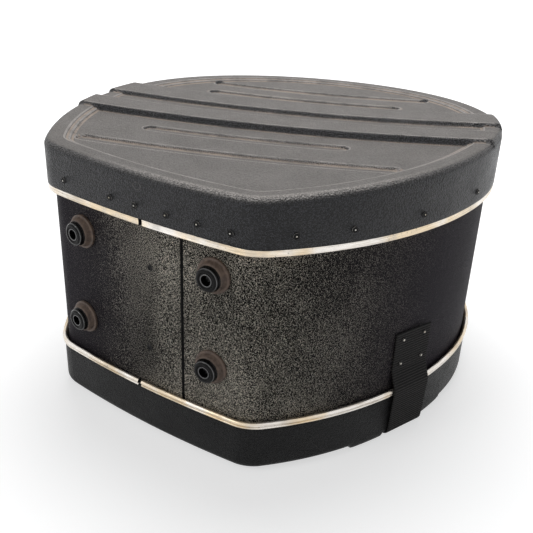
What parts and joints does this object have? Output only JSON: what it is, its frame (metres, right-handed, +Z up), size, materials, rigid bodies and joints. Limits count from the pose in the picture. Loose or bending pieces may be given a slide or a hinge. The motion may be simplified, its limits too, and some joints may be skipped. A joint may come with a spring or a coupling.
{
  "type": "drum case",
  "caption": "Rigid D-shaped case for a mounted drum: moulded back and lift-off lid, bent wall, metal edging, feet on the flat side, closing strap with buckle, carrying handle.",
  "frame": {"origin": "on the floor, under the middle of the case's box, with the case lying on its lid", "axes": "+Z up from the lid to the back, -Y the flat side with the feet, +X the side where the strap is riveted"},
  "size_m": [0.4814, 0.5158, 0.3013],
  "materials": {
    "shell": "leather-grained black, dusty on top",
    "lid_shell": "fine-grained black",
    "sheet": "rough black with pale speckles",
    "edging": "bright, slightly worn",
    "rivets": "black, worn bright at the edges",
    "rubber": "dusty black",
    "webbing": "ribbed black webbing",
    "lining": "dark foam",
    "black_metal": "satin black"
  },
  "bodies": {
    "lid": {"lid_edging": "edging", "lid_pad": "lining", "lid_shell": "lid_shell", "strap_run": "webbing"},
    "case_body": {"back_edging": "edging", "back_pad": "lining", "back_shell": "shell", "buckle_frame": "black_metal", "buckle_rivet_1": "rivets", "buckle_rivet_2": "rivets", "buckle_rivet_3": "rivets", "buckle_rivet_4": "rivets", "buckle_tab": "webbing", "foot_1": "rubber", "foot_2": "rubber", "foot_3": "rubber", "foot_4": "rubber", "foot_screw_1": "rivets", "foot_screw_2": "rivets", "foot_screw_3": "rivets", "foot_screw_4": "rivets", "handle_bracket_1": "black_metal", "handle_bracket_2": "black_metal", "handle_rivet_1": "rivets", "handle_rivet_2": "rivets", "handle_rivet_3": "rivets", "handle_rivet_4": "rivets", "lap_rivet_1": "rivets", "lap_rivet_2": "rivets", "skirt_rivet_1": "rivets", "skirt_rivet_10": "rivets", "skirt_rivet_11": "rivets", "skirt_rivet_12": "rivets", "skirt_rivet_13": "rivets", "skirt_rivet_14": "rivets", "skirt_rivet_15": "rivets", "skirt_rivet_16": "rivets", "skirt_rivet_17": "rivets", "skirt_rivet_18": "rivets", "skirt_rivet_2": "rivets", "skirt_rivet_3": "rivets", "skirt_rivet_4": "rivets", "skirt_rivet_5": "rivets", "skirt_rivet_6": "rivets", "skirt_rivet_7": "rivets", "skirt_rivet_8": "rivets", "skirt_rivet_9": "rivets", "strap_rivet_1": "rivets", "strap_rivet_2": "rivets", "strap_rivet_3": "rivets", "strap_rivet_4": "rivets", "strap_tab": "webbing", "wall_liner": "lining", "wall_sheet": "sheet"},
    "handle": {"handle_bail": "black_metal", "handle_grip": "rubber"},
    "buckle_lever": {"buckle_lever": "black_metal"}
  },
  "joints": [
    {"name": "lid_lift", "type": "slide", "parent": "lid", "child": "case_body", "axis": [0, 0, 1], "range_m": [0, 0.15]},
    {"name": "handle_swing", "type": "hinge", "parent": "case_body", "child": "handle", "pos_m": [0.00419, 0.2494, 0.168], "axis": [1, 0, 0], "range_deg": [0, 170]},
    {"name": "buckle_open", "type": "hinge", "parent": "case_body", "child": "buckle_lever", "pos_m": [-0.2274, 0.07356, 0.115], "axis": [0.3272, 0.9449, 0], "range_deg": [0, 95]}
  ]
}
